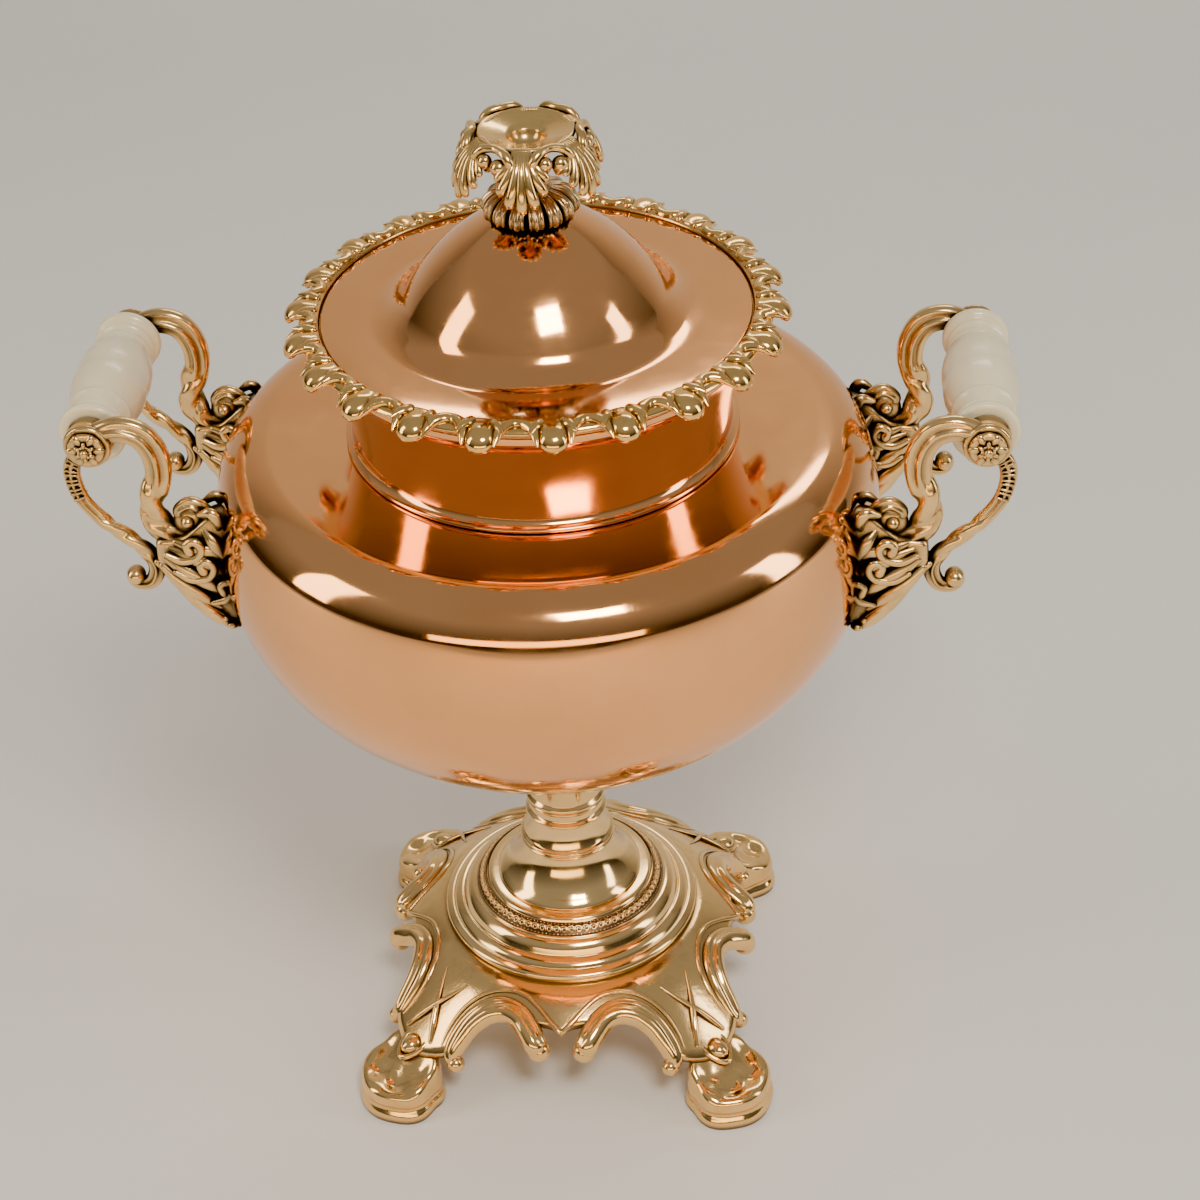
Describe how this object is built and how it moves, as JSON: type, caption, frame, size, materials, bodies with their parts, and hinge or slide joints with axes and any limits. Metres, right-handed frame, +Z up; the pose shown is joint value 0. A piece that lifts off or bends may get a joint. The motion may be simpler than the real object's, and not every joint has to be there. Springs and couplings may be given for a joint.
{
  "type": "samovar",
  "caption": "Footed tea urn with a squat round bowl, concave neck, lift-off lid with a leaf finial, scroll side handles with turned grips and a rear tap.",
  "frame": {"origin": "on the urn's own axis, in the plane of the four soles", "axes": "+Z up along the urn's axis, +Y towards the tap, +X towards the right-hand handle seen from the side without the tap"},
  "size_m": [0.3998, 0.3397, 0.4656],
  "materials": {
    "polished_copper": null,
    "polished_brass": "polished",
    "antique_brass": "polished on the high parts, dark in the hollows",
    "cream_grip": "smooth, like turned bone",
    "cast_iron": "as cast",
    "tinned_copper": "tinned"
  },
  "bodies": {
    "urn": {"bowl_socket": "polished_brass", "bracket_front_left": "antique_brass", "bracket_front_right": "antique_brass", "bracket_rear_left": "antique_brass", "bracket_rear_right": "antique_brass", "foot_front_left": "polished_brass", "foot_front_right": "polished_brass", "foot_rear_left": "polished_brass", "foot_rear_right": "polished_brass", "foot_screws": "polished_brass", "gallery_rim": "polished_brass", "grip_left": "cream_grip", "grip_right": "cream_grip", "grip_rod_left": "polished_brass", "grip_rod_right": "polished_brass", "heater_sleeve": "tinned_copper", "heater_slug": "cast_iron", "neck_collar": "polished_copper", "pedestal_foot": "polished_brass", "pedestal_stem": "polished_brass", "plinth": "polished_brass", "rosette_nuts": "polished_brass", "sleeve_seat": "tinned_copper", "tap_back_nut": "polished_brass", "tap_body": "polished_brass", "tap_flange": "polished_brass", "tap_saddle_washer": "polished_brass", "tie_rod": "polished_brass", "tie_rod_head_nut": "polished_brass", "tie_rod_nut": "polished_brass", "tie_rod_washer": "polished_brass", "vessel_body": "polished_copper"},
    "lid": {"lid": "polished_copper", "lid_locating_ring": "polished_copper", "finial_collar": "antique_brass", "finial": "polished_brass", "finial_stud": "polished_brass", "finial_washer": "polished_brass", "finial_nut": "polished_brass"},
    "tap_key": {"tap_plug": "polished_brass", "tap_key_handle": "cream_grip", "tap_key_cap": "polished_brass", "tap_plug_washer": "polished_brass", "tap_plug_nut": "polished_brass"},
    "sleeve_cap": {"sleeve_cap": "tinned_copper"}
  },
  "joints": [
    {"name": "lid_lift", "type": "slide", "parent": "urn", "child": "lid", "axis": [0, 0, 1], "range_m": [0, 0.12]},
    {"name": "tap_key_turn", "type": "hinge", "parent": "urn", "child": "tap_key", "pos_m": [0, 0.164, 0.225], "axis": [0, 0, 1], "range_deg": [0, 90]},
    {"name": "sleeve_cap_lift", "type": "slide", "parent": "urn", "child": "sleeve_cap", "axis": [0, 0, 1], "range_m": [0, 0.03]}
  ]
}
